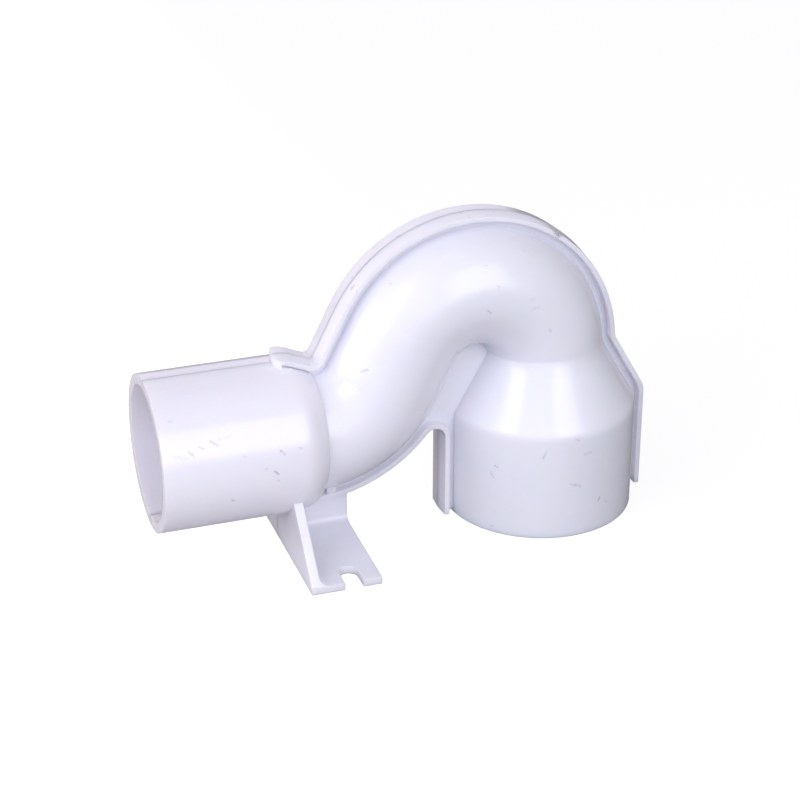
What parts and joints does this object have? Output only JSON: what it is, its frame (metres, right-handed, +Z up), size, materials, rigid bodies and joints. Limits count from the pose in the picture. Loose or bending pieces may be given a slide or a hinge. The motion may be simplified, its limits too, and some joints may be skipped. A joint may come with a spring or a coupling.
{
  "type": "drain trap",
  "caption": "White PVC drain trap: a welded two-shell bend from an upright big socket over an arch to a level small socket, on slotted screw feet.",
  "frame": {"origin": "centre of the big socket's mouth, in the plane that the trap stands on", "axes": "+Z up along the big socket's axis, -X towards the small socket's mouth, Y across the feet"},
  "size_m": [0.1662, 0.0784, 0.1039],
  "materials": {
    "pvc": "gloss"
  },
  "bodies": {
    "root": {"front_half_shell": "pvc", "rear_half_shell": "pvc"}
  },
  "joints": []
}
